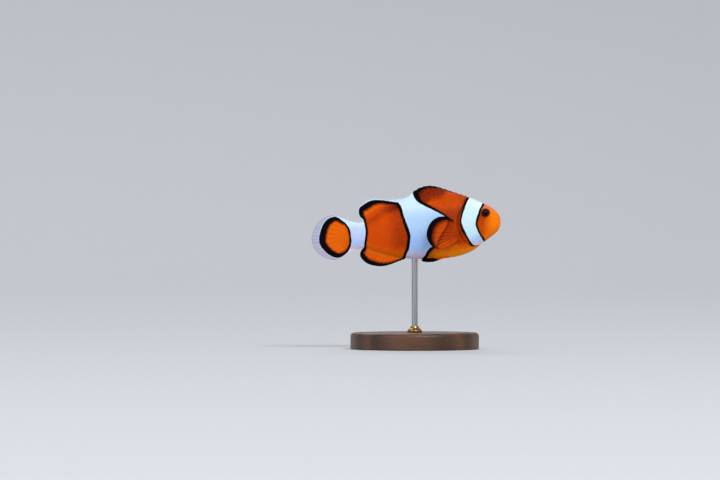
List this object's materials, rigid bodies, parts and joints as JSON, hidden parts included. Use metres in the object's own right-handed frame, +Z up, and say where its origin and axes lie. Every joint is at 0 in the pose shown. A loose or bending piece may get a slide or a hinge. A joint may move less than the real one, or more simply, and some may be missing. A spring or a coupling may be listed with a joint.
{
  "type": "ocellaris clownfish model on a display stand",
  "caption": "Life-size adult orange, white and black banded reef fish in a swimming pose, held over a round base by a slim rod.",
  "frame": {"origin": "centre of the round base's underside, under the rod", "axes": "+X towards the fish's head, +Y to the fish's left, +Z up; the fish's long axis is pitched 5.5 degrees nose-up in the XZ plane"},
  "size_m": [0.0796, 0.054, 0.0687],
  "materials": {
    "orange_skin": "orange skin with small scales under a satin varnish, bordered in black",
    "white_skin": "pearly bluish-white skin with small scales under a satin varnish",
    "fin_membrane": "ribbed orange fins with black margins and a clear rim",
    "eye_glass": "dark brown glass eye with a black pupil",
    "stand_wood": "turned walnut, satin oiled",
    "stand_steel": "drawn rod, satin",
    "stand_brass": "turned and polished"
  },
  "bodies": {
    "root": {"head": "orange_skin", "lower_jaw": "orange_skin", "gill_cover_right": "white_skin", "gill_cover_left": "white_skin", "trunk": "orange_skin", "tail_stalk": "white_skin", "dorsal_fin_spiny": "fin_membrane", "dorsal_fin_soft": "fin_membrane", "anal_fin": "fin_membrane", "caudal_fin": "fin_membrane", "pectoral_fin_right": "fin_membrane", "pectoral_fin_left": "fin_membrane", "pelvic_fin_right": "fin_membrane", "pelvic_fin_left": "fin_membrane", "eye_right": "eye_glass", "eye_left": "eye_glass", "stand_base": "stand_wood", "stand_rod": "stand_steel", "stand_collar": "stand_brass"}
  },
  "joints": []
}
